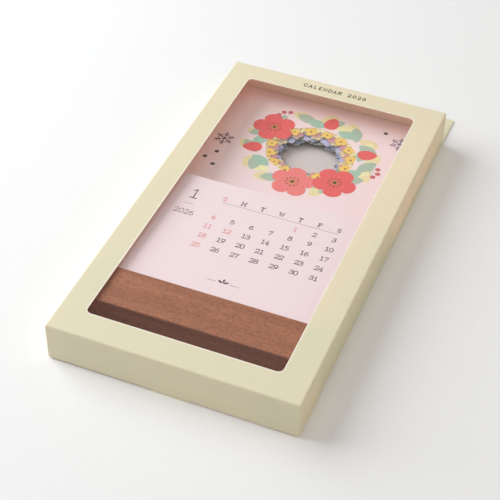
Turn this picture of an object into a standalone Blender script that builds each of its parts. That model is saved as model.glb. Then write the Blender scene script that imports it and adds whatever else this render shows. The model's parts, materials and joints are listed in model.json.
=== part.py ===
"""A flip desk calendar in its window carton.

A folded card case with a hanging header holds a slotted wooden stand that lies on its back. Twelve date
cards lean in the stand's front slot, and twelve die-cut picture cards lie in its rear slot. The case's near
end closes with a hinged flap and two dust flaps, and a clear film is glued inside its window.

The origin is at the bottom centre of the whole: +X to the right, +Y towards the header, +Z up.
"""

import math

import bmesh
import bpy
from mathutils import Matrix

MONTHS = ("january", "february", "march", "april", "may", "june", "july", "august", "september", "october",
          "november", "december")

# The folded case: the back panel stops short of the near end, and HAIRLINE keeps cut edges from touching
CASE_WIDTH = 0.1100
CASE_LENGTH = 0.2022
CASE_HEIGHT = 0.0192
BOARD = 0.00045
FOLD_RADIUS = 0.0007
BACK_PANEL_SETBACK = 0.0020
HAIRLINE = 0.00005
HEADER_REACH = 0.0200
HANG_HOLE_RADIUS = 0.0040
HANG_HOLE_INSET = 0.0095
FRONT = -(CASE_LENGTH + HEADER_REACH) / 2
BACK = FRONT + CASE_LENGTH

# The window, by the width of the board left round it, and the film behind it
WINDOW_LEFT_MARGIN = 0.0115
WINDOW_RIGHT_MARGIN = 0.0128
WINDOW_NEAR_MARGIN = 0.0131
WINDOW_FAR_MARGIN = 0.0112
WINDOW_CORNER = 0.0025
FILM_OVERLAP = 0.0040
FILM = 0.00015
GLUE = 0.00002

# The near end's closing flap, with its tongue, and the two dust flaps behind it
FLAP_DROP = 0.00080
FLAP_TOP = CASE_HEIGHT - FLAP_DROP
FLAP_BOTTOM = 0.00090
TONGUE_WIDTH = 0.0158
TONGUE_SHOULDER = 0.0006
TONGUE_BOTTOM = HAIRLINE
DUST_FLAP_REACH = 0.0180
DUST_FLAP_TAPER = 0.0025
FOLD_GAP = 0.0003

# The wooden stand, lying on its back
STAND_WIDTH = 0.1050
STAND_SETBACK = 0.02267
STAND_RISE = 0.02134
STAND_BOTTOM = 0.00065
STAND_TOP = 0.0176
STAND_CHAMFER = 0.0004
STAND_FACE = FRONT + STAND_SETBACK + STAND_RISE
SLOT_DEPTH = 0.0125
SLOT_CLEARANCE = 0.00015
CARD_INSET = 0.0005

# The date cards, counted down from January, leaning in the front slot
DATE_CARD_WIDTH = 0.1050
DATE_CARD_SHOWN = 0.0717
DATE_CARD = 0.00026
DATE_CARD_PITCH = 0.00030
DATE_CARD_TOP = 0.0159
DATE_CARD_LEAN = math.radians(1.0)

# The picture cards, counted down from January, flat in the rear slot
PICTURE_CARD_WIDTH = 0.1050
PICTURE_CARD = 0.00025
PICTURE_CARD_PITCH = 0.000285
PICTURE_CARD_TOP = 0.00635
CARD_CORNER = 0.0010

# The wreath's die-cut opening: January's is the widest, and the later months step in under it
WREATH_INSET = 0.0398
WREATH_HALF_WIDTH = 0.0226
WREATH_HALF_HEIGHT = 0.0200
LAST_WREATH_SHARE = 0.80
LAST_WREATH_DROP = 0.0020
PETAL_SWELL = 0.0009
WREATH_POINTS = 60

# January's small round die-cuts, each by its distance from the middle and from the case's far end
DOT_RADIUS = 0.0012
DOT_PLACES = ((-0.0419, 0.0565), (-0.0457, 0.0620), (-0.0400, 0.0660), (0.0288, 0.0110))


def clear_scene():
    for obj in list(bpy.data.objects):
        bpy.data.objects.remove(obj, do_unlink=True)


def new_collection(name):
    collection = bpy.data.collections.new(name)
    bpy.context.scene.collection.children.link(collection)
    return collection


def new_material(name, colour, roughness, alpha=1.0):
    material = bpy.data.materials.new(name)
    material.use_nodes = True
    shader = material.node_tree.nodes["Principled BSDF"]
    shader.inputs["Base Color"].default_value = (*colour, 1.0)
    shader.inputs["Roughness"].default_value = roughness
    shader.inputs["Metallic"].default_value = 0.0
    shader.inputs["Alpha"].default_value = alpha
    return material


def add_object(name, data, collection, material=None):
    obj = bpy.data.objects.new(name, data)
    collection.objects.link(obj)
    if material:
        data.materials.append(material)
    return obj


def block(name, low, high, collection, material=None, upright_corners=0.0):
    """A box between two corners, whose four upright edges may be rounded."""
    shape = bmesh.new()
    bmesh.ops.create_cube(shape, size=1.0)
    size = [b - a for a, b in zip(low, high)]
    middle = [(a + b) / 2 for a, b in zip(low, high)]
    bmesh.ops.transform(shape, matrix=Matrix.LocRotScale(middle, None, size), verts=shape.verts)
    if upright_corners:
        upright = [e for e in shape.edges if abs(e.verts[0].co.z - e.verts[1].co.z) > 1e-6]
        bmesh.ops.bevel(shape, geom=upright, offset=upright_corners, segments=6, profile=0.5,
                        affect="EDGES")
    mesh = bpy.data.meshes.new(name)
    shape.to_mesh(mesh)
    shape.free()
    return add_object(name, mesh, collection, material)


def as_cutter(obj):
    obj.hide_render = True
    obj.display_type = "WIRE"
    return obj


def combine(target, other, operation):
    boolean = target.modifiers.new(f"{operation.lower()}_{other.name}", "BOOLEAN")
    boolean.operation = operation
    boolean.solver = "EXACT"
    boolean.object = as_cutter(other)


def soften(obj, width, segments):
    bevel = obj.modifiers.new("rounded_edges", "BEVEL")
    bevel.width = width
    bevel.segments = segments


def sheet(name, loops, thickness, collection, material):
    """A flat sheet from an outline and its holes, with its upper face at z = 0 of its own frame."""
    curve = bpy.data.curves.new(name, "CURVE")
    curve.dimensions = "2D"
    curve.fill_mode = "BOTH"
    curve.extrude = thickness / 2
    for loop in loops:
        spline = curve.splines.new("POLY")
        spline.points.add(len(loop) - 1)
        for point, (x, y) in zip(spline.points, loop):
            point.co = (x, y, 0.0, 1.0)
        spline.use_cyclic_u = True
    return add_object(name, curve, collection, material)


def arc(centre, radius, start, end, steps):
    """Points along an arc, with its angles in degrees."""
    points = []
    for i in range(steps + 1):
        angle = math.radians(start + (end - start) * i / steps)
        points.append((centre[0] + radius * math.cos(angle), centre[1] + radius * math.sin(angle)))
    return points


def rounded_rectangle(left, right, near, far, radius, steps=4):
    inner_left, inner_right = left + radius, right - radius
    inner_near, inner_far = near + radius, far - radius
    return (arc((inner_right, inner_near), radius, -90, 0, steps)
            + arc((inner_right, inner_far), radius, 0, 90, steps)
            + arc((inner_left, inner_far), radius, 90, 180, steps)
            + arc((inner_left, inner_near), radius, 180, 270, steps))


def wreath_opening(month):
    """The die-cut opening inside one month's wreath: an ellipse scalloped by its petals."""
    depth = math.sqrt(month / (len(MONTHS) - 1))
    share = 1 - (1 - LAST_WREATH_SHARE) * depth
    centre_y = BACK - WREATH_INSET - LAST_WREATH_DROP * depth
    petals = 9 + month % 4
    points = []
    for i in range(WREATH_POINTS):
        angle = math.tau * i / WREATH_POINTS
        swell = PETAL_SWELL * abs(math.cos(petals * angle / 2 + month))
        points.append(((WREATH_HALF_WIDTH * share - swell) * math.cos(angle),
                       centre_y + (WREATH_HALF_HEIGHT * share - swell) * math.sin(angle)))
    return points


def make_case_body(parts, cutters, material):
    """One folded sheet: top, sides, far end and back, with the back carried on as a double header."""
    half = CASE_WIDTH / 2
    case = block("case_body", (-half, FRONT, 0.0), (half, BACK, CASE_HEIGHT), parts, material)
    soften(case, FOLD_RADIUS, 3)
    hollow = block("case_hollow", (-half + BOARD, FRONT + BOARD, BOARD),
                   (half - BOARD, BACK - BOARD, CASE_HEIGHT - BOARD), cutters)
    near_end = block("near_end_opening", (-CASE_WIDTH, FRONT - BOARD, -BOARD),
                     (CASE_WIDTH, FRONT + BOARD + HAIRLINE, FLAP_TOP + HAIRLINE), cutters)
    back_setback = block("back_panel_setback", (-CASE_WIDTH, FRONT - BOARD, -BOARD),
                         (CASE_WIDTH, FRONT + BACK_PANEL_SETBACK, BOARD + HAIRLINE), cutters)
    window = block("window_opening",
                   (-half + WINDOW_LEFT_MARGIN, FRONT + WINDOW_NEAR_MARGIN, CASE_HEIGHT / 2),
                   (half - WINDOW_RIGHT_MARGIN, BACK - WINDOW_FAR_MARGIN, CASE_HEIGHT + BOARD),
                   cutters, upright_corners=WINDOW_CORNER)
    header = block("header", (-half, BACK - BOARD / 2, 0.0), (half, BACK + HEADER_REACH, 2 * BOARD),
                   cutters)
    hole_y = BACK + HEADER_REACH - HANG_HOLE_INSET
    hang_hole = block("hang_hole", (-HANG_HOLE_RADIUS, hole_y - HANG_HOLE_RADIUS, -BOARD),
                      (HANG_HOLE_RADIUS, hole_y + HANG_HOLE_RADIUS, 3 * BOARD), cutters,
                      upright_corners=HANG_HOLE_RADIUS - HAIRLINE)
    for cutter in (hollow, near_end, back_setback, window):
        combine(case, cutter, "DIFFERENCE")
    combine(case, header, "UNION")
    combine(case, hang_hole, "DIFFERENCE")


def make_window_film(parts, material):
    half, top = CASE_WIDTH / 2 + FILM_OVERLAP, CASE_HEIGHT - BOARD - GLUE
    block("window_film",
          (-half + WINDOW_LEFT_MARGIN, FRONT + WINDOW_NEAR_MARGIN - FILM_OVERLAP, top - FILM),
          (half - WINDOW_RIGHT_MARGIN, BACK - WINDOW_FAR_MARGIN + FILM_OVERLAP, top),
          parts, material)


def make_front_flap(parts, material):
    """The closing flap, in its own upright plane, hinged along its outer top edge."""
    half, tongue = CASE_WIDTH / 2 - 2 * HAIRLINE, TONGUE_WIDTH / 2
    bottom, tip = FLAP_BOTTOM - FLAP_TOP, TONGUE_BOTTOM - FLAP_TOP
    tip_half = tongue - TONGUE_SHOULDER
    outline = [(half, 0.0), (-half, 0.0), (-half, bottom), (-tongue, bottom), (-tip_half, tip),
               (tip_half, tip), (tongue, bottom), (half, bottom)]
    flap = sheet("front_flap", [outline], BOARD, parts, material)
    flap.matrix_world = (Matrix.Translation((0.0, FRONT + BOARD / 2, FLAP_TOP))
                         @ Matrix.Rotation(math.radians(90), 4, "X"))


def make_dust_flap(name, side, parts, material):
    """A tapered flap folded in from a side wall, hinged on that wall's near edge."""
    low, high = 2 * BOARD + FOLD_GAP, CASE_HEIGHT - 2 * BOARD - FOLD_GAP
    reach, taper = DUST_FLAP_REACH, DUST_FLAP_TAPER
    outline = [(0.0, low), (-side * reach, low + taper), (-side * reach, high - taper), (0.0, high)]
    flap = sheet(name, [outline], BOARD, parts, material)
    flap.matrix_world = (Matrix.Translation((side * dust_flap_hinge_x(), dust_flap_y(), 0.0))
                         @ Matrix.Rotation(math.radians(90), 4, "X"))


def dust_flap_hinge_x():
    return CASE_WIDTH / 2 - BOARD - 2 * FOLD_GAP


def dust_flap_y():
    return FRONT + 1.5 * BOARD + FOLD_GAP


def date_card_frame():
    """January's upper face, from the stand's far face: y runs along the card and z out of it."""
    return Matrix.Translation((0.0, STAND_FACE, DATE_CARD_TOP)) @ Matrix.Rotation(-DATE_CARD_LEAN, 4, "X")


def make_stand(parts, cutters, material):
    half = STAND_WIDTH / 2
    stand = block("wooden_stand", (-half, FRONT + STAND_SETBACK, STAND_BOTTOM),
                  (half, STAND_FACE, STAND_TOP), parts, material)
    soften(stand, STAND_CHAMFER, 1)
    date_stack = (len(MONTHS) - 1) * DATE_CARD_PITCH + DATE_CARD
    date_slot = block("date_slot", (-STAND_WIDTH, -SLOT_DEPTH, -date_stack - SLOT_CLEARANCE),
                      (STAND_WIDTH, SLOT_DEPTH, SLOT_CLEARANCE), cutters)
    date_slot.matrix_world = date_card_frame()
    picture_stack = (len(MONTHS) - 1) * PICTURE_CARD_PITCH + PICTURE_CARD
    slot_bottom = PICTURE_CARD_TOP - picture_stack - SLOT_CLEARANCE
    slot_top = PICTURE_CARD_TOP + SLOT_CLEARANCE
    picture_slot = block("picture_slot", (-STAND_WIDTH, STAND_FACE - SLOT_DEPTH, slot_bottom),
                         (STAND_WIDTH, STAND_FACE + SLOT_DEPTH, slot_top), cutters)
    combine(stand, date_slot, "DIFFERENCE")
    combine(stand, picture_slot, "DIFFERENCE")


def make_date_card(month, parts, material):
    half = DATE_CARD_WIDTH / 2
    outline = rounded_rectangle(-half, half, CARD_INSET - SLOT_DEPTH, DATE_CARD_SHOWN, CARD_CORNER)
    card = sheet(f"date_card_{MONTHS[month]}", [outline], DATE_CARD, parts, material)
    middle = -month * DATE_CARD_PITCH - DATE_CARD / 2
    card.matrix_world = date_card_frame() @ Matrix.Translation((0.0, 0.0, middle))


def make_picture_card(month, parts, material):
    half = PICTURE_CARD_WIDTH / 2
    near = STAND_FACE - SLOT_DEPTH + CARD_INSET
    far = BACK - BOARD - FOLD_GAP
    loops = [rounded_rectangle(-half, half, near, far, CARD_CORNER), wreath_opening(month)]
    if month == 0:
        loops += [arc((x, BACK - inset), DOT_RADIUS, 0, 330, 11) for x, inset in DOT_PLACES]
    card = sheet(f"picture_card_{MONTHS[month]}", loops, PICTURE_CARD, parts, material)
    card.location.z = PICTURE_CARD_TOP - month * PICTURE_CARD_PITCH - PICTURE_CARD / 2


def main():
    clear_scene()
    parts = new_collection("flip_desk_calendar")
    cutters = new_collection("cutters")
    cutters.hide_render = True
    card_board = new_material("cream_board", (0.78, 0.74, 0.55), 0.75)
    film = new_material("clear_film", (0.95, 0.96, 0.97), 0.08, alpha=0.12)
    wood = new_material("walnut", (0.34, 0.13, 0.07), 0.55)
    date_paper = new_material("date_card_paper", (0.86, 0.73, 0.73), 0.80)
    make_case_body(parts, cutters, card_board)
    make_window_film(parts, film)
    make_front_flap(parts, card_board)
    make_dust_flap("dust_flap_left", -1, parts, card_board)
    make_dust_flap("dust_flap_right", 1, parts, card_board)
    make_stand(parts, cutters, wood)
    for month in range(len(MONTHS)):
        warmth = 0.10 * math.sin(math.tau * month / len(MONTHS))
        tone = (0.84, 0.62 + warmth, 0.66 - warmth)
        picture_paper = new_material(f"picture_paper_{MONTHS[month]}", tone, 0.80)
        make_date_card(month, parts, date_paper)
        make_picture_card(month, parts, picture_paper)


main()
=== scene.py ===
import calendar
import json
import math

import bmesh
import bpy
from mathutils import Matrix, Vector


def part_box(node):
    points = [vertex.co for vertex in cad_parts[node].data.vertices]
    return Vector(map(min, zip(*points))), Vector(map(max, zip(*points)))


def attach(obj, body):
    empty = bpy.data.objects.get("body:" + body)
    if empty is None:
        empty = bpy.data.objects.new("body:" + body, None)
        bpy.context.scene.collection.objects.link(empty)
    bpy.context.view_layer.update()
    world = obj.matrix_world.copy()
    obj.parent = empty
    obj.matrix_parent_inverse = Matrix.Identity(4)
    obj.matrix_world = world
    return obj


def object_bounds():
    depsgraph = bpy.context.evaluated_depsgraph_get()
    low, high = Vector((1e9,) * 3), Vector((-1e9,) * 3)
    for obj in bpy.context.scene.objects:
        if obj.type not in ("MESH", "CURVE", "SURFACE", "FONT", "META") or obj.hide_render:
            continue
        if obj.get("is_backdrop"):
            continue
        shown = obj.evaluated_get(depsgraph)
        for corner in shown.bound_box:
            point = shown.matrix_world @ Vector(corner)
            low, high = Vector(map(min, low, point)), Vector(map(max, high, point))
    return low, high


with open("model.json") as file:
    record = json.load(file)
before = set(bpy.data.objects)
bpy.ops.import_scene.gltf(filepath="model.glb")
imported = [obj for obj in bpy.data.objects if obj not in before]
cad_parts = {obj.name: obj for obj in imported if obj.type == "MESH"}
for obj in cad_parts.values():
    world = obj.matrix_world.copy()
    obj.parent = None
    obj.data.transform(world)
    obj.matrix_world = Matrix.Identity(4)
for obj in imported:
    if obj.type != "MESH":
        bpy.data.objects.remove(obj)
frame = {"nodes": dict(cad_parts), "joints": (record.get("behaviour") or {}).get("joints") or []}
cad_low, cad_high = (list(corner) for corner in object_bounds())

MM = 0.001
YEAR = 2026
MONTHS = ("january", "february", "march", "april", "may", "june", "july", "august", "september", "october",
          "november", "december")

# The case, the stand, the film and January's picture card, as the frame gives them
CASE_LOW, CASE_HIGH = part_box("case_body")
FRONT = CASE_LOW.y
FLAP_LOW, FLAP_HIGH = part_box("front_flap")
BOARD = FLAP_HIGH.y - FLAP_LOW.y
PICTURE_LOW, PICTURE_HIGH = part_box("picture_card_january")
CARD_THICKNESS = PICTURE_HIGH.z - PICTURE_LOW.z
CARD_PLAY = 0.3 * MM
BACK = PICTURE_HIGH.y + BOARD + CARD_PLAY
STAND_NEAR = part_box("wooden_stand")[0].y
FILM_LOW, FILM_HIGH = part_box("window_film")

# The window's cut and the pale band round it that is painted as a highlight, the cards' die-cuts and the
# thickness of a film of ink
FILM_OVERLAP = 4.0 * MM
WINDOW_CORNER = 2.5 * MM
# The width of the painted highlight round the window's cut.
RIM_HIGHLIGHT_WIDTH = 0.45 * MM
WREATH_Y = BACK - 39.8 * MM
OPENING_REACH = 30.0 * MM
DOT_RADIUS = 1.7
DOT_THICKNESS = 0.05 * MM
DOT_PLACES = ((-41.9, -56.5), (-45.7, -62.0), (-40.0, -66.0), (28.8, -11.0))
PRINT = 0.012 * MM

# The light that the board lets through, the top of its bare back panel, and the painted shade on the wood's
# near face
BOARD_GLOW = 0.30
BACK_PANEL_TOP = 1.0 * MM
NEAR_FACE_DEPTH = 0.3 * MM
NEAR_FACE_PAINTED_SHADE = 0.45

# Paper and ink colours, in linear light
CREAM = (0.948, 0.987, 0.733)
# The inner walls' bare board, tinted warm as painted bounce light from the pink cards.
BARE_BOARD_AND_PAINTED_BOUNCE = (0.99, 0.90, 0.79)
BACK_PANEL = (0.92, 0.90, 0.89)
GLOW = (1.0, 0.64, 0.50)
# The pale colour of the painted highlight round the window's cut.
RIM_HIGHLIGHT_COLOUR = (1.0, 0.90, 0.78)
BLUSH = (0.975, 0.790, 0.795)
CORAL = (0.88, 0.15, 0.145)
CORAL_LIGHT = (0.93, 0.25, 0.235)
PETAL_LINE = (0.704, 0.12, 0.116)
LEAF = (0.47, 0.58, 0.46)
MINT = (0.42, 0.62, 0.48)
BUTTER = (0.90, 0.78, 0.44)
LEMON = (0.93, 0.88, 0.50)
SAND = (0.78, 0.64, 0.38)
CANOLA = (0.94, 0.64, 0.17)
PINK = (0.72, 0.34, 0.38)
MAUVE = (0.42, 0.26, 0.28)
LILAC = (0.48, 0.42, 0.62)
LAVENDER = (0.56, 0.53, 0.76)
BLUE = (0.34, 0.38, 0.60)
SLATE = (0.20, 0.22, 0.30)
SAGE = (0.34, 0.40, 0.33)
STRAW = (0.50, 0.56, 0.42)
UMBER = (0.20, 0.10, 0.05)
FILAMENT = (0.42, 0.22, 0.06)
STAMEN = (0.86, 0.56, 0.14)
BERRY = (0.66, 0.15, 0.16)
SNOW = (0.17, 0.10, 0.11)
LILAC_GREY = (0.30, 0.25, 0.33)
OCHRE = (0.60, 0.33, 0.08)
DATE_GREY = (0.12, 0.10, 0.10)
DATE_RED = (0.85, 0.30, 0.30)
TITLE_GREY = (0.045, 0.045, 0.03)
DATE_PAPER = (0.955, 0.790, 0.805)
CARD_TONES = (BLUSH, (0.90, 0.82, 0.52), (0.84, 0.62, 0.66), (0.86, 0.80, 0.60), (0.72, 0.78, 0.66),
              (0.62, 0.56, 0.66), (0.50, 0.56, 0.70), (0.62, 0.68, 0.62), (0.80, 0.76, 0.66),
              (0.66, 0.60, 0.58), (0.60, 0.52, 0.50), (0.62, 0.64, 0.66))


class Material:
    """A Principled material whose colour, roughness and bump come from nodes."""

    def __init__(self, name, roughness=0.8, specular=0.3):
        self.data = bpy.data.materials.new(name)
        self.data.use_nodes = True
        self.tree = self.data.node_tree
        self.shader = self.tree.nodes["Principled BSDF"]
        self.shader.inputs["Roughness"].default_value = roughness
        self.shader.inputs["Specular IOR Level"].default_value = specular
        self.where = self.tree.nodes.new("ShaderNodeTexCoord").outputs["Object"]

    def link(self, source, target):
        self.tree.links.new(source, target)

    def math(self, operation, a, b=0.0):
        node = self.tree.nodes.new("ShaderNodeMath")
        node.operation = operation
        for socket, value in zip(node.inputs, (a, b)):
            if isinstance(value, (int, float)):
                socket.default_value = value
            else:
                self.link(value, socket)
        return node.outputs[0]

    def scaled(self, x, y, z):
        node = self.tree.nodes.new("ShaderNodeMapping")
        node.inputs["Scale"].default_value = (x, y, z)
        self.link(self.where, node.inputs["Vector"])
        return node.outputs["Vector"]

    def noise(self, vector, scale=1.0, detail=3.0, roughness=0.55, distortion=0.0):
        node = self.tree.nodes.new("ShaderNodeTexNoise")
        node.inputs["Scale"].default_value = scale
        node.inputs["Detail"].default_value = detail
        node.inputs["Roughness"].default_value = roughness
        node.inputs["Distortion"].default_value = distortion
        self.link(vector, node.inputs["Vector"])
        return node.outputs["Fac"]

    def ramp(self, factor, stops):
        node = self.tree.nodes.new("ShaderNodeValToRGB")
        elements = node.color_ramp.elements
        while len(elements) < len(stops):
            elements.new(0.5)
        for element, (place, colour) in zip(elements, stops):
            element.position = place
            element.color = (*colour, 1.0)
        self.link(factor, node.inputs["Fac"])
        return node.outputs["Color"]

    def mix(self, factor, a, b):
        node = self.tree.nodes.new("ShaderNodeMix")
        node.data_type = "RGBA"
        for name, value in (("Factor", factor), ("A", a), ("B", b)):
            socket = next(s for s in node.inputs if s.name == name and s.enabled)
            if isinstance(value, tuple):
                socket.default_value = (*value, 1.0)
            elif isinstance(value, float):
                socket.default_value = value
            else:
                self.link(value, socket)
        return next(s for s in node.outputs if s.enabled)

    def separate(self, vector):
        node = self.tree.nodes.new("ShaderNodeSeparateXYZ")
        self.link(vector, node.inputs["Vector"])
        return node.outputs

    def bump(self, height, distance, strength=1.0):
        node = self.tree.nodes.new("ShaderNodeBump")
        node.inputs["Strength"].default_value = strength
        node.inputs["Distance"].default_value = distance
        self.link(height, node.inputs["Height"])
        self.link(node.outputs["Normal"], self.shader.inputs["Normal"])

    def colour(self, source):
        self.link(source, self.shader.inputs["Base Color"])

    def let_through(self, colour, share):
        """Passes a share of the light through a thin sheet, by a socket."""
        glow = self.tree.nodes.new("ShaderNodeBsdfTranslucent")
        glow.inputs["Color"].default_value = (*colour, 1.0)
        blend = self.tree.nodes.new("ShaderNodeMixShader")
        self.link(share, blend.inputs["Fac"])
        self.link(self.shader.outputs["BSDF"], blend.inputs[1])
        self.link(glow.outputs["BSDF"], blend.inputs[2])
        self.link(blend.outputs["Shader"], self.tree.nodes["Material Output"].inputs["Surface"])

    def facing_up(self):
        """1 on faces that look up or down the piece's own z, and 0 on its cut edges."""
        normal = self.tree.nodes.new("ShaderNodeTexCoord").outputs["Normal"]
        return self.math("GREATER_THAN", self.math("ABSOLUTE", self.separate(normal)["Z"]), 0.6)


def shade(colour, amount):
    return tuple(min(1.0, channel * amount) for channel in colour)


def paper_material(name, colour, edge=(0.86, 0.82, 0.76), mottle=0.06, roughness=0.85):
    """Printed uncoated paper: mottled ink, fine fibres, and the bare core on its cut edges."""
    paper = Material(name, roughness, 0.2)
    clouds = paper.noise(paper.where, 900.0, 4.0, 0.65)
    fibres = paper.noise(paper.scaled(5200.0, 3100.0, 5200.0), 1.0, 3.0, 0.7)
    ink = paper.ramp(clouds, ((0.25, shade(colour, 1 - mottle)), (0.75, shade(colour, 1 + mottle))))
    paper.colour(paper.mix(paper.facing_up(), edge, ink))
    paper.bump(fibres, 0.006 * MM, 0.5)
    return paper.data


def ink_material(name, colour):
    """A thin print whose coverage breaks up a little over the paper's grain."""
    ink = Material(name, 0.75, 0.2)
    grain = ink.noise(ink.where, 6000.0, 2.0, 0.6)
    ink.colour(ink.ramp(grain, ((0.30, shade(colour, 0.85)), (0.80, shade(colour, 1.35)))))
    ink.bump(grain, 0.003 * MM, 0.4)
    return ink.data


def case_material():
    """Thin cream board that lets some light through: printed outside and bare grey-white inside, with the
    inner walls tinted warm as painted bounce light from the pink cards.
    """
    board = Material("cream_board", 0.78, 0.25)
    x, y, z = board.separate(board.where)
    inset = 0.5 * BOARD
    half, height = CASE_HIGH.x - inset, CASE_HIGH.z - inset
    outside = board.math("GREATER_THAN", board.math("ABSOLUTE", x), half)
    for test in (board.math("GREATER_THAN", z, height), board.math("LESS_THAN", z, inset),
                 board.math("GREATER_THAN", y, BACK - inset), board.math("LESS_THAN", y, FRONT + inset)):
        outside = board.math("MAXIMUM", outside, test)
    clouds = board.noise(board.where, 260.0, 5.0, 0.6)
    fibres = board.noise(board.scaled(3600.0, 2400.0, 3600.0), 1.0, 4.0, 0.7)
    cream = board.ramp(clouds, ((0.25, shade(CREAM, 0.985)), (0.75, shade(CREAM, 1.015))))
    # The inner walls carry a warm tint painted for the light the pink cards throw on them; the back panel
    # below keeps its own grey-white.
    walls_and_painted_bounce = board.ramp(clouds, ((0.25, shade(BARE_BOARD_AND_PAINTED_BOUNCE, 0.98)), (0.75, shade(BARE_BOARD_AND_PAINTED_BOUNCE, 1.02))))
    bare = board.mix(board.math("LESS_THAN", z, BACK_PANEL_TOP), walls_and_painted_bounce, BACK_PANEL)
    # A pale band round the window's cut, painted as a highlight, with none of the board's glow on it.
    rim = window_rim(board, x, y, z)
    board.colour(board.mix(rim, board.mix(outside, bare, cream), RIM_HIGHLIGHT_COLOUR))
    board.bump(fibres, 0.010 * MM, 0.6)
    board.let_through(GLOW, board.math("MULTIPLY", board.math("SUBTRACT", 1.0, rim), BOARD_GLOW))
    return board.data


def window_rim(board, x, y, z):
    """1 on a thin band of the board round the window's cut, where a pale painted highlight goes, 0
    elsewhere.
    """
    middle, half = (FILM_LOW + FILM_HIGH) / 2, (FILM_HIGH - FILM_LOW) / 2
    squares = []
    for place, centre, reach in ((x, middle.x, half.x), (y, middle.y, half.y)):
        aside = board.math("ABSOLUTE", board.math("SUBTRACT", place, centre))
        straight = reach - FILM_OVERLAP - WINDOW_CORNER
        over = board.math("MAXIMUM", board.math("SUBTRACT", aside, straight), 0.0)
        squares.append(board.math("MULTIPLY", over, over))
    distance = board.math("SQRT", board.math("ADD", *squares))
    near = board.math("LESS_THAN", distance, WINDOW_CORNER + RIM_HIGHLIGHT_WIDTH)
    return board.math("MULTIPLY", near, board.math("GREATER_THAN", z, FILM_LOW.z))


def wood_material():
    """Oiled hardwood with its grain along X: soft broad bands, fine lines and short dark pores."""
    wood = Material("oiled_walnut", 0.5, 0.35)
    bands = wood.noise(wood.scaled(8.0, 150.0, 150.0), 1.0, 4.0, 0.6, 0.5)
    lines = wood.noise(wood.scaled(24.0, 1100.0, 1100.0), 1.0, 4.0, 0.7)
    pores = wood.noise(wood.scaled(800.0, 2300.0, 2300.0), 1.0, 2.0, 0.6)
    broad = wood.ramp(bands, ((0.30, (0.390, 0.135, 0.062)), (0.52, (0.490, 0.185, 0.090)),
                              (0.74, (0.580, 0.240, 0.128))))
    streak = wood.ramp(lines, ((0.42, (0.0, 0.0, 0.0)), (0.70, (1.0, 1.0, 1.0))))
    fine = wood.mix(wood.math("MULTIPLY", streak, 0.34), broad, (0.240, 0.080, 0.040))
    pitted = wood.ramp(pores, ((0.42, (0.0, 0.0, 0.0)), (0.66, (1.0, 1.0, 1.0))))
    oiled = wood.mix(wood.math("MULTIPLY", pitted, 0.62), fine, (0.170, 0.060, 0.034))
    # Painted shade: the stand's near face, which already sits in shade, is painted darker still.
    painted_near_shade = wood.math("LESS_THAN", wood.separate(wood.where)["Y"], STAND_NEAR + NEAR_FACE_DEPTH)
    wood.colour(wood.mix(wood.math("MULTIPLY", painted_near_shade, NEAR_FACE_PAINTED_SHADE), oiled, (0.100, 0.028, 0.010)))
    wood.bump(wood.math("SUBTRACT", lines, wood.math("MULTIPLY", pitted, 0.6)), 0.02 * MM, 0.6)
    return wood.data


def film_material():
    """Clear stiff film: nearly all see-through, with a faint haze and a slight waviness in its gloss."""
    film = Material("clear_film", 0.06, 0.5)
    film.shader.inputs["Alpha"].default_value = 0.03
    waves = film.noise(film.where, 30.0, 2.0, 0.5)
    film.colour(film.ramp(waves, ((0.3, (0.50, 0.51, 0.52)), (0.7, (0.56, 0.57, 0.58)))))
    film.bump(waves, 0.15 * MM, 0.3)
    return film.data


def paint(node, material):
    """Gives a CAD node its finished material."""
    slots = frame["nodes"][node].data.materials
    slots.clear()
    slots.append(material)


# Outlines, as lists of points in millimetres

def petals_outline(x, y, radius, count, turn=0.0, depth=0.42, notch=0.0, points_each=14):
    """A flower of round petals, which may be notched at their tips."""
    outline = []
    total = count * points_each
    for i in range(total):
        phase = math.pi * ((i / points_each) % 1.0)
        swell = 1 - depth + depth * math.sin(phase) ** 0.6
        dip = notch * math.exp(-((phase - math.pi / 2) / 0.28) ** 2)
        angle = math.radians(turn) + math.tau * i / total
        reach = radius * (swell - dip)
        outline.append((x + reach * math.cos(angle), y + reach * math.sin(angle)))
    return outline


def leaf_outline(x, y, length, width, turn, points=11, blunt=0.75):
    """A leaf with a point at each end."""
    outline = []
    c, s = math.cos(math.radians(turn)), math.sin(math.radians(turn))
    for side in (1, -1):
        for i in range(points):
            t = i / points if side > 0 else 1 - i / points
            along = (t - 0.5) * length
            across = side * width / 2 * math.sin(math.pi * t) ** blunt
            outline.append((x + along * c - across * s, y + along * s + across * c))
    return outline


def disc_outline(x, y, radius, points=16):
    return [(x + radius * math.cos(math.tau * i / points), y + radius * math.sin(math.tau * i / points))
            for i in range(points)]


def bud_outline(x, y, half_width, half_height, turn=0.0, points=28):
    """A bud: round below and drawn to a soft point above."""
    outline = []
    for i in range(points):
        angle = math.tau * i / points
        across = half_width * math.sin(angle) * (1 - 0.16 * math.cos(angle))
        up = half_height * math.cos(angle) * (1 + 0.10 * max(0.0, math.cos(angle)) ** 6)
        c, s = math.cos(math.radians(turn)), math.sin(math.radians(turn))
        outline.append((x + across * c - up * s, y + across * s + up * c))
    return outline


def stroke_outline(start, end, width_start, width_end, bow=0.0, points=6):
    """A stroke between two points, tapering and bowed to one side."""
    dx, dy = end[0] - start[0], end[1] - start[1]
    length = math.hypot(dx, dy)
    nx, ny = -dy / length, dx / length
    left, right = [], []
    for i in range(points + 1):
        t = i / points
        swing = bow * math.sin(math.pi * t)
        half = (width_start + (width_end - width_start) * t) / 2
        cx, cy = start[0] + dx * t + nx * swing, start[1] + dy * t + ny * swing
        left.append((cx + nx * half, cy + ny * half))
        right.append((cx - nx * half, cy - ny * half))
    return right + left[::-1]


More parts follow.
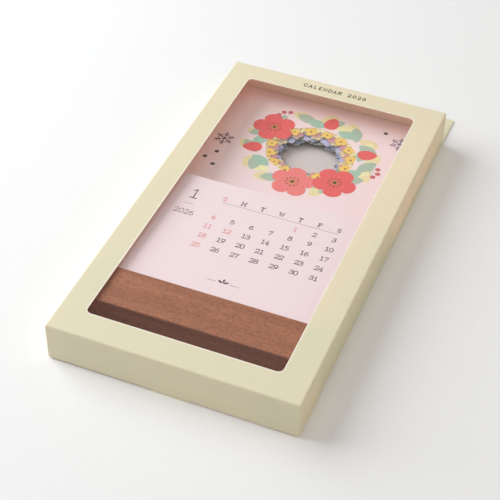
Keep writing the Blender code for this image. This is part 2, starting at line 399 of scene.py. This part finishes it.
class CutSheet:
    """Flat pieces of one colour on one card, gathered into one object."""

    def __init__(self, name, body, slot, material, place):
        self.name, self.body, self.slot, self.material, self.place = name, body, slot, material, place
        self.shape = bmesh.new()

    def add(self, outline, top, thickness):
        """An outline in millimetres whose upper face is at top above the card."""
        face = self.shape.faces.new([self.shape.verts.new((x * MM, y * MM, top)) for x, y in outline])
        face.normal_update()
        if face.normal.z < 0:
            face.normal_flip()
        made = bmesh.ops.extrude_face_region(self.shape, geom=[face], use_keep_orig=True)
        low = [v for v in made["geom"] if isinstance(v, bmesh.types.BMVert)]
        bmesh.ops.translate(self.shape, verts=low, vec=(0.0, 0.0, -thickness))
        under = [f for f in made["geom"] if isinstance(f, bmesh.types.BMFace)]
        bmesh.ops.reverse_faces(self.shape, faces=under)

    def write(self, text, x, y, height, weight, pitch=0.68, stretch=1.0):
        """Letters centred on a point, as a film of ink. Weight and pitch are shares of the height."""
        for i, letter in enumerate(text):
            middle = x + (i - (len(text) - 1) / 2) * pitch * height
            for kind, *points in GLYPHS.get(letter, ()):
                left, right = ribbon(flowing(points) if kind == CURVED else points, weight)
                rows = [[self.shape.verts.new(((middle + px * height * stretch) * MM,
                                               (y + (py - 0.5) * height) * MM, PRINT)) for px, py in edge]
                        for edge in (left, right)]
                for a, b, c, d in zip(rows[0], rows[0][1:], rows[1][1:], rows[1]):
                    self.shape.faces.new((d, c, b, a))

    def finish(self):
        mesh = bpy.data.meshes.new(self.name)
        self.shape.to_mesh(mesh)
        self.shape.free()
        mesh.materials.append(self.material)
        obj = bpy.data.objects.new(self.name, mesh)
        bpy.context.scene.collection.objects.link(obj)
        obj.matrix_world = self.place
        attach(obj, self.body)
        return obj


# Letterforms: each is a list of strokes on a cap height of 1, and a stroke is curved or straight
CURVED, STRAIGHT = True, False
UPPER_BOWL = (CURVED, (0, 1), (-0.22, 0.90), (-0.24, 0.74), (0, 0.55), (0.24, 0.74), (0.22, 0.90), (0, 1))
LOWER_BOWL = (CURVED, (0, 0.55), (-0.27, 0.40), (-0.28, 0.14), (0, 0), (0.28, 0.14), (0.27, 0.40),
              (0, 0.55))
SIX = (CURVED, (0.20, 0.97), (0, 0.90), (-0.20, 0.66), (-0.28, 0.34), (-0.22, 0.09), (0, 0), (0.23, 0.08),
       (0.29, 0.30), (0.20, 0.53), (0, 0.60), (-0.20, 0.51), (-0.27, 0.36))
GLYPHS = {
    "0": [(CURVED, (0, 1), (-0.23, 0.86), (-0.29, 0.5), (-0.23, 0.14), (0, 0), (0.23, 0.14), (0.29, 0.5),
           (0.23, 0.86), (0, 1))],
    "1": [(STRAIGHT, (-0.20, 0.84), (0.02, 0.99), (0.02, 0)), (STRAIGHT, (-0.22, 0), (0.26, 0))],
    "2": [(CURVED, (-0.27, 0.72), (-0.22, 0.92), (0, 1), (0.23, 0.91), (0.26, 0.70), (0.12, 0.44),
           (-0.12, 0.20), (-0.28, 0.02)),
          (STRAIGHT, (-0.29, 0), (0.28, 0), (0.28, 0.15))],
    "3": [(CURVED, (-0.25, 0.80), (-0.14, 0.96), (0.05, 1), (0.22, 0.90), (0.23, 0.72), (0.12, 0.57),
           (-0.06, 0.54)),
          (CURVED, (-0.06, 0.54), (0.17, 0.49), (0.28, 0.33), (0.26, 0.13), (0.10, 0.01), (-0.10, 0.01),
           (-0.24, 0.10), (-0.28, 0.23))],
    "4": [(STRAIGHT, (0.12, 0), (0.12, 1), (-0.30, 0.30), (0.32, 0.30)),
          (STRAIGHT, (-0.02, 0), (0.26, 0))],
    "5": [(STRAIGHT, (0.24, 0.98), (-0.20, 0.98), (-0.23, 0.54)),
          (CURVED, (-0.23, 0.54), (-0.05, 0.63), (0.16, 0.59), (0.28, 0.40), (0.26, 0.16), (0.10, 0.01),
           (-0.10, 0.01), (-0.27, 0.14))],
    "6": [SIX],
    "7": [(STRAIGHT, (-0.27, 0.82), (-0.27, 0.98), (0.28, 0.98), (0.06, 0.48), (-0.04, 0))],
    "8": [UPPER_BOWL, LOWER_BOWL],
    "9": [(CURVED, *((-x, 1 - y) for x, y in SIX[1:]))],
    "S": [(CURVED, (0.25, 0.80), (0.13, 0.96), (-0.06, 1), (-0.24, 0.90), (-0.25, 0.70), (-0.08, 0.56),
           (0.14, 0.45), (0.28, 0.29), (0.23, 0.08), (0.02, 0), (-0.18, 0.04), (-0.28, 0.20))],
    "M": [(STRAIGHT, (-0.36, 0), (-0.36, 1), (0, 0.36), (0.36, 1), (0.36, 0)),
          (STRAIGHT, (-0.47, 0), (-0.25, 0)), (STRAIGHT, (0.25, 0), (0.47, 0)),
          (STRAIGHT, (-0.46, 1), (-0.34, 1)), (STRAIGHT, (0.34, 1), (0.46, 1))],
    "T": [(STRAIGHT, (-0.32, 0.80), (-0.32, 1), (0.32, 1), (0.32, 0.80)), (STRAIGHT, (0, 1), (0, 0)),
          (STRAIGHT, (-0.15, 0), (0.15, 0))],
    "W": [(STRAIGHT, (-0.42, 1), (-0.23, 0), (0, 0.74), (0.23, 0), (0.42, 1)),
          (STRAIGHT, (-0.52, 1), (-0.30, 1)), (STRAIGHT, (0.30, 1), (0.52, 1))],
    "F": [(STRAIGHT, (-0.30, 1), (0.28, 1), (0.28, 0.80)), (STRAIGHT, (-0.20, 1), (-0.20, 0)),
          (STRAIGHT, (-0.20, 0.52), (0.14, 0.52)), (STRAIGHT, (-0.32, 0), (-0.04, 0))],
    "C": [(CURVED, (0.30, 0.78), (0.14, 0.96), (-0.08, 0.99), (-0.30, 0.82), (-0.38, 0.5), (-0.30, 0.18),
           (-0.08, 0.01), (0.14, 0.04), (0.30, 0.22))],
    "A": [(STRAIGHT, (-0.38, 0), (0, 1), (0.38, 0)), (STRAIGHT, (-0.25, 0.33), (0.25, 0.33))],
    "L": [(STRAIGHT, (-0.20, 1), (-0.20, 0), (0.28, 0))],
    "E": [(STRAIGHT, (0.26, 1), (-0.22, 1), (-0.22, 0), (0.28, 0)),
          (STRAIGHT, (-0.22, 0.52), (0.19, 0.52))],
    "N": [(STRAIGHT, (-0.32, 0), (-0.32, 1), (0.32, 0), (0.32, 1))],
    "D": [(STRAIGHT, (-0.28, 0), (-0.28, 1)),
          (CURVED, (-0.28, 1), (0.04, 0.97), (0.28, 0.79), (0.36, 0.5), (0.28, 0.21), (0.04, 0.03),
           (-0.28, 0))],
    "R": [(STRAIGHT, (-0.26, 0), (-0.26, 1)), (STRAIGHT, (0.00, 0.50), (0.30, 0)),
          (CURVED, (-0.26, 1), (0.06, 0.99), (0.25, 0.87), (0.25, 0.63), (0.06, 0.50), (-0.26, 0.49))],
}


def flowing(points, steps=3):
    """Points along a smooth curve through the given ones."""
    path = []
    padded = [points[0], *points, points[-1]]
    if points[0] == points[-1]:
        padded = [points[-2], *points, points[1]]
    for a, b, c, d in zip(padded, padded[1:], padded[2:], padded[3:]):
        for i in range(steps):
            t = i / steps
            path.append(tuple(0.5 * (2 * b[k] + (c[k] - a[k]) * t
                                     + (2 * a[k] - 5 * b[k] + 4 * c[k] - d[k]) * t ** 2
                                     + (3 * b[k] - a[k] - 3 * c[k] + d[k]) * t ** 3) for k in (0, 1)))
    return path + [points[-1]]


def ribbon(path, width):
    """The two edges of a stroke of even width along a path."""
    closed = path[0] == path[-1]
    left, right = [], []
    for i, (x, y) in enumerate(path):
        before = path[i - 1] if i else (path[-2] if closed else None)
        after = path[i + 1] if i + 1 < len(path) else (path[1] if closed else None)
        ways = [Vector((x - before[0], y - before[1])).normalized()] if before else []
        ways += [Vector((after[0] - x, after[1] - y)).normalized()] if after else []
        way = sum(ways, Vector((0, 0))).normalized()
        miter = width / 2 / max(0.5, way.dot(ways[0]))
        push = 0.0 if closed or 0 < i < len(path) - 1 else width / 2 * (1 if i else -1)
        x, y = x + way.x * push, y + way.y * push
        left.append((x - way.y * miter, y + way.x * miter))
        right.append((x + way.y * miter, y - way.x * miter))
    return left, right


# The date cards

def date_card_place(month):
    """The middle of a date card's top edge, on its upper face: x across, y up the card, z out of it."""
    low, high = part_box(f"date_card_{MONTHS[month]}")
    joint = next(j for j in frame["joints"] if j["name"] == f"date_card_{MONTHS[month]}_slide")
    along = Vector(joint["axis"]).normalized()
    normal = Vector((0.0, -along.z, along.y))
    near_top = Vector((0.0, low.y, high.z))
    length = (high.y - low.y) / along.y
    turn = Matrix((Vector((1, 0, 0)), along, normal)).transposed().to_4x4()
    return Matrix.Translation(near_top + along * length) @ turn


# Places on a date card in millimetres, from the middle of its top edge, and January's holidays
FIRST_COLUMN, COLUMN_PITCH = -20.4, 9.075
FIRST_ROW, ROW_PITCH = -17.4, 6.625
WEEKDAY_ROW = -10.4
MONTH_PLACE = (-34.4, -12.3)
YEAR_PLACE = (-34.3, -25.4)
ORNAMENT_PLACE = (0.0, -62.0)
HOLIDAYS = {(0, 1), (0, 12)}

# The two rules, each by its ends and its height on the card, and their weight
RULES = ((-20.9, 34.4, -13.05), (-36.9, -32.1, -19.6))
RULE_WEIGHT = 0.16

# Type: its height in millimetres, then its stroke weight and pitch as shares of that, and its stretch
WEEKDAY_TYPE = (2.4, 0.185)
DAY_TYPE = (2.55, 0.15, 0.78, 1.08)
MONTH_TYPE = (6.1, 0.095, 0.72)
YEAR_TYPE = (3.0, 0.105, 0.80)
TITLE_TYPE = (2.3, 0.19, 1.1)


def print_date_card(month, grey, red):
    """The month's number and year at the left, and its weeks from Sunday at the right."""
    name = MONTHS[month]
    place = date_card_place(month)
    plain = CutSheet(f"{name}_dates", f"date_card_{name}", "date_card", grey, place)
    marked = CutSheet(f"{name}_sundays", f"date_card_{name}", "date_card", red, place)
    for column, letter in enumerate("SMTWTFS"):
        sheet = plain if column else marked
        sheet.write(letter, FIRST_COLUMN + column * COLUMN_PITCH, WEEKDAY_ROW, *WEEKDAY_TYPE)
    for row, week in enumerate(calendar.Calendar(calendar.SUNDAY).monthdayscalendar(YEAR, month + 1)):
        for column, day in enumerate(week):
            if day:
                sheet = marked if column == 0 or (month, day) in HOLIDAYS else plain
                x, y = FIRST_COLUMN + column * COLUMN_PITCH, FIRST_ROW - row * ROW_PITCH
                sheet.write(str(day), x, y, *DAY_TYPE)
    for start, end, y in RULES:
        plain.add(stroke_outline((start, y), (end, y), RULE_WEIGHT, RULE_WEIGHT), PRINT, PRINT)
    plain.write(str(month + 1), *MONTH_PLACE, *MONTH_TYPE)
    plain.write(str(YEAR), *YEAR_PLACE, *YEAR_TYPE)
    print_ornament(plain, *ORNAMENT_PLACE)
    plain.finish()
    marked.finish()


def print_ornament(sheet, x, y):
    """A small sprig between two fine rules."""
    for side in (-1, 1):
        sheet.add(stroke_outline((x + side * 3.4, y), (x + side * 8.2, y), 0.26, 0.10), PRINT, PRINT)
        sheet.add(leaf_outline(x + side * 1.35, y + 0.45, 2.7, 1.1, side * 30), PRINT, PRINT)
    sheet.add(leaf_outline(x, y + 1.3, 2.5, 1.0, 90), PRINT, PRINT)


# The picture cards

def card_opening(node):
    """The middle of a card's large opening, on its upper face, and its half width and height in mm."""
    middle = Vector((0.0, WREATH_Y))
    rim = [v.co for v in frame["nodes"][node].data.vertices if (v.co.xy - middle).length < OPENING_REACH]
    low = Vector([min(point[k] for point in rim) for k in range(3)])
    high = Vector([max(point[k] for point in rim) for k in range(3)])
    half = (high - low) / 2 / MM
    return Vector(((low.x + high.x) / 2, (low.y + high.y) / 2, high.z)), (half.x, half.y)


# The cut-paper shapes: how proud the first one stands, each next one's step over it, and their thickness
FIRST_LAYER = 0.006 * MM
LAYER_STEP = 0.0006 * MM
SHAPE_THICKNESS = 0.9 * CARD_THICKNESS

# The flowers: the notch in a petal's tip, the width of a small one's rim, and a large one's size and place
PETAL_NOTCH = 0.06
RIM_WIDTH = 0.28
LARGE_FLOWER = 10.6
LARGE_FLOWER_BEYOND = 4.2


class Wreath:
    """One month's wreath: cut-paper shapes a hair proud of the card, some reaching into its opening.

    Places are in millimetres from the middle of the opening."""

    def __init__(self, month):
        self.name = MONTHS[month]
        middle, self.half = card_opening(f"picture_card_{self.name}")
        self.place = Matrix.Translation(middle)
        self.sheets = {}
        self.height = FIRST_LAYER

    def sheet(self, tone, colour):
        if tone not in self.sheets:
            material = paper_material(f"{self.name}_{tone}", colour)
            self.sheets[tone] = CutSheet(f"{self.name}_{tone}", "case", f"picture_card_{self.name}",
                                         material, self.place)
        return self.sheets[tone]

    def shape(self, tone, colour, outline):
        self.sheet(tone, colour).add(outline, self.height, SHAPE_THICKNESS)
        self.height += LAYER_STEP

    def mark(self, tone, colour, outline):
        """A print on top of the shapes below it."""
        self.sheet(tone, colour).add(outline, self.height + PRINT, PRINT)

    def flower(self, tone, colour, x, y, radius, petals, turn, heart, rim):
        """A small flower with a heart, on a rim of another colour where one is given."""
        if rim:
            outline = petals_outline(x, y, radius + RIM_WIDTH, petals, turn, notch=PETAL_NOTCH)
            self.shape(f"{tone}_rims", rim, outline)
        self.shape(tone, colour, petals_outline(x, y, radius, petals, turn, notch=PETAL_NOTCH))
        self.mark(f"{tone}_hearts", heart, disc_outline(x, y, radius * 0.17, 10))

    def finish(self):
        for sheet in self.sheets.values():
            sheet.finish()


def outside(wreath, beyond, turn):
    """The place in one direction that lies so far outside the opening's rim, or inside it below 0."""
    angle = math.radians(turn)
    return (wreath.half[0] + beyond) * math.cos(angle), (wreath.half[1] + beyond) * math.sin(angle)


def leaf_ring(wreath, tone, colour, count, beyond, start, length, width, slant=38.0):
    """A ring of like leaves, slanted to either side of the ring by turns."""
    for i in range(count):
        turn = start + 360.0 * i / count
        lean = slant if i % 2 else -slant
        outline = leaf_outline(*outside(wreath, beyond, turn), length, width, turn + 90 + lean)
        wreath.shape(tone, colour, outline)


def flower_ring(wreath, tone, colour, count, beyond, start, radius, petals, heart, rim=None):
    """A ring of like small flowers, large and less large by turns."""
    for i in range(count):
        turn = start + 360.0 * i / count
        size = radius * (0.86 if i % 2 else 1.0)
        wreath.flower(tone, colour, *outside(wreath, beyond, turn), size, petals, turn * 2, heart, rim)


def away(x, y, reach, turn):
    """The point so far from another one, in a direction in degrees."""
    angle = math.radians(turn)
    return x + reach * math.cos(angle), y + reach * math.sin(angle)


def large_flower(wreath, tone, colour, turn):
    """A plain open flower of five round petals, with a ring of stamens."""
    x, y = outside(wreath, LARGE_FLOWER_BEYOND, turn)
    wreath.shape(tone, colour, petals_outline(x, y, LARGE_FLOWER, 5, turn, 0.30))
    for petal in range(5):
        way = turn + 72 * petal
        line = stroke_outline(away(x, y, 4.4, way), away(x, y, 7.2, way), 0.10, 0.22)
        wreath.mark("petal_lines", PETAL_LINE, line)
    for stamen in range(10):
        tip = away(x, y, 3.1, turn + 36 * stamen)
        wreath.mark("filaments", FILAMENT, stroke_outline((x, y), tip, 0.30, 0.24))
        wreath.mark("anthers", UMBER, disc_outline(*tip, 0.42, 10))
    wreath.mark("stamens", STAMEN, disc_outline(x, y, 1.2))


def berries(wreath, turn):
    """A sprig of three berries that points out of the ring."""
    root = outside(wreath, 8.6, turn)
    for side in (-1, 0, 1):
        tip = away(*root, 4.6, turn + side * 42)
        wreath.mark("stalks", SAGE, stroke_outline(root, tip, 0.26, 0.20, 0.25))
        wreath.shape("berries", BERRY, disc_outline(*tip, 1.3, 18))


def snowflake(wreath, x, y, tone, colour):
    """Six straight arms, each with two pairs of barbs."""
    for arm in range(6):
        way = 90 + 60 * arm
        wreath.mark(tone, colour, stroke_outline((x, y), away(x, y, 5.0, way), 0.5, 0.5))
        for along, reach in ((2.2, 1.7), (3.5, 1.2)):
            root = away(x, y, along, way)
            for side in (-1, 1):
                tip = away(*root, reach, way + side * 60)
                wreath.mark(tone, colour, stroke_outline(root, tip, 0.5, 0.4))


# A ring's numbers: how many, how far outside the rim, the first one's direction, and the size of each

def january_wreath():
    """Rings of leaves laid out by rule, with three large flowers, three buds and two sprigs of berries."""
    wreath = Wreath(0)
    leaf_ring(wreath, "butter_leaves", BUTTER, 14, 8.6, 12, 10.5, 6.4)
    leaf_ring(wreath, "bright_leaves", LEMON, 9, 6.4, 30, 10.5, 5.6)
    leaf_ring(wreath, "leaves", LEAF, 13, 6.6, 0, 11.5, 6.2)
    leaf_ring(wreath, "mint_leaves", MINT, 9, 3.4, 20, 11.0, 6.0, 24)
    for turn in (130, -5):
        berries(wreath, turn)
    for turn in (20, 85, 195):
        wreath.shape("buds", CORAL, bud_outline(*outside(wreath, 5.6, turn), 3.6, 4.5, turn - 90))
    for turn, tone, colour in ((150, "flower_far", CORAL), (270, "flower_near", CORAL_LIGHT),
                               (315, "flower_right", CORAL)):
        large_flower(wreath, tone, colour, turn)
    snowflake(wreath, -42.0, -6.0, "snow", SNOW)
    snowflake(wreath, 38.0, 23.0, "pale_snow", LILAC_GREY)
    wreath.finish()


def under_wreaths():
    """The later months' rings of small flowers that show through January's opening, nearest first."""
    february = Wreath(1)
    flower_ring(february, "canola_pale", BUTTER, 18, 0.4, 0, 2.9, 4, UMBER, OCHRE)
    flower_ring(february, "canola", CANOLA, 15, -1.2, 10, 3.2, 4, UMBER, OCHRE)
    february.finish()
    march = Wreath(2)
    leaf_ring(march, "march_leaves", SAGE, 8, -1.0, 20, 8.5, 4.4)
    flower_ring(march, "blossom", PINK, 13, -1.6, 16, 3.1, 5, MAUVE)
    march.finish()
    april = Wreath(3)
    flower_ring(april, "cream", SAND, 11, -1.6, 30, 3.4, 5, STAMEN)
    april.finish()
    june = Wreath(5)
    leaf_ring(june, "haze_leaves", SAGE, 7, -1.0, 50, 9.0, 5.2)
    flower_ring(june, "hydrangea", LAVENDER, 11, -1.6, 12, 3.6, 4, LILAC)
    june.finish()
    july = Wreath(6)
    leaf_ring(july, "july_leaves", SLATE, 7, -1.0, 0, 9.0, 4.6)
    flower_ring(july, "glory", BLUE, 10, -1.6, 33, 3.8, 5, LAVENDER)
    july.finish()
    august = Wreath(7)
    leaf_ring(august, "grass_leaves", STRAW, 11, -1.4, 10, 10.0, 3.2, 14)
    august.finish()
    october = Wreath(9)
    leaf_ring(october, "october_leaves", SAGE, 8, -1.0, 40, 9.0, 5.0)
    flower_ring(october, "slate_bloom", SLATE, 11, -1.4, 0, 3.8, 5, SAGE)
    october.finish()


def dot_shades():
    """Dark discs on February's card, which show through January's four round die-cuts."""
    node = "picture_card_february"
    place = Matrix.Translation((0.0, BACK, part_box(node)[1].z))
    sheet = CutSheet("dot_shades", "case", node, paper_material("dot_shade", SNOW), place)
    for x, y in DOT_PLACES:
        sheet.add(disc_outline(x, y, DOT_RADIUS), DOT_THICKNESS, DOT_THICKNESS)
    sheet.finish()


# The case's print

TITLE_PLACE = (-0.35, -5.7)
TITLE_PROUD = 0.004 * MM


def print_case(ink):
    """The title on the far margin of the top panel."""
    place = Matrix.Translation((0.0, BACK, CASE_HIGH.z - PRINT + TITLE_PROUD))
    sheet = CutSheet("case_title", "case", "case_board", ink, place)
    sheet.write(f"CALENDAR {YEAR}", *TITLE_PLACE, *TITLE_TYPE)
    sheet.finish()


# The floor, the light and the camera

# Each lamp: its name, its direction, its distance, its width, its power and its colour
LAMPS = (("key", (-0.80, 0.04, 0.55), 1.10, 1.20, 14.0, (0.935, 0.972, 1.0)),
         ("top", (0.05, -0.38, 0.92), 2.50, 2.00, 13.0, (1.0, 0.985, 0.97)),
         ("fill", (0.90, 0.10, 0.42), 1.25, 1.40, 2.8, (1.0, 0.87, 0.70)))
WORLD_COLOUR = (1.0, 0.96, 0.92)
WORLD_STRENGTH = 0.27

# The camera: azimuth, elevation and roll in degrees, the lens in millimetres, and where it stands in metres
CAMERA_ANGLES = (21.067, 42.576, 1.418)
CAMERA_LENS = 96.4
CAMERA_PLACE = (0.15588, FRONT - 0.32001, 0.40692)


def make_floor():
    bpy.ops.mesh.primitive_plane_add(size=6.0, location=(0.0, 0.0, cad_low[2] - 0.02 * MM))
    floor = bpy.context.object
    floor.name = "floor"
    cloth = Material("pale_floor", 0.9, 0.1)
    grain = cloth.noise(cloth.scaled(420.0, 420.0, 420.0), 1.0, 4.0, 0.7)
    cloth.colour(cloth.ramp(grain, ((0.3, (0.90, 0.90, 0.905)), (0.7, (0.92, 0.92, 0.925)))))
    cloth.bump(grain, 0.12 * MM, 0.25)
    floor.data.materials.append(cloth.data)
    floor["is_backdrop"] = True


def soft_lamp(name, towards, distance, size, energy, colour):
    """A round lamp that stands in one direction from the middle and shines back at it."""
    data = bpy.data.lights.new(name, "AREA")
    data.shape = "DISK"
    data.size, data.energy, data.color = size, energy, colour
    lamp = bpy.data.objects.new(name, data)
    bpy.context.scene.collection.objects.link(lamp)
    towards = Vector(towards).normalized()
    lamp.location = towards * distance
    lamp.rotation_mode = "QUATERNION"
    lamp.rotation_quaternion = towards.to_track_quat("Z", "Y")


def make_light():
    """The three lamps, and a warm light from all round."""
    for lamp in LAMPS:
        soft_lamp(*lamp)
    world = bpy.data.worlds.new("studio")
    world.use_nodes = True
    background = world.node_tree.nodes["Background"]
    background.inputs["Color"].default_value = (*WORLD_COLOUR, 1.0)
    background.inputs["Strength"].default_value = WORLD_STRENGTH
    bpy.context.scene.world = world
    bpy.context.scene.view_settings.view_transform = "Standard"


def make_camera():
    """The camera at the photograph's viewing angle, level but for a small roll."""
    azimuth, elevation, roll = (math.radians(a) for a in CAMERA_ANGLES)
    back = Vector((math.sin(azimuth) * math.cos(elevation), -math.cos(azimuth) * math.cos(elevation),
                   math.sin(elevation)))
    level = Vector((math.cos(azimuth), math.sin(azimuth), 0.0))
    rise = back.cross(level)
    right = math.cos(roll) * level + math.sin(roll) * rise
    up = math.cos(roll) * rise - math.sin(roll) * level
    data = bpy.data.cameras.new("camera")
    data.lens = CAMERA_LENS
    data.sensor_width = 36.0
    camera = bpy.data.objects.new("camera", data)
    bpy.context.scene.collection.objects.link(camera)
    turn = Matrix((right, up, back)).transposed().to_4x4()
    camera.matrix_world = Matrix.Translation(CAMERA_PLACE) @ turn
    bpy.context.scene.camera = camera


def main():
    board = case_material()
    for node in ("case_body", "front_flap", "dust_flap_left", "dust_flap_right"):
        paint(node, board)
    paint("window_film", film_material())
    paint("wooden_stand", wood_material())
    date_paper = paper_material("date_card_paper", DATE_PAPER, mottle=0.015)
    grey, red = ink_material("date_ink", DATE_GREY), ink_material("sunday_ink", DATE_RED)
    for month, name in enumerate(MONTHS):
        paint(f"date_card_{name}", date_paper)
        picture_paper = paper_material(f"picture_paper_{name}", CARD_TONES[month], mottle=0.02)
        paint(f"picture_card_{name}", picture_paper)
        print_date_card(month, grey, red)
    january_wreath()
    under_wreaths()
    dot_shades()
    print_case(ink_material("title_ink", TITLE_GREY))
    make_floor()
    make_light()
    make_camera()


main()
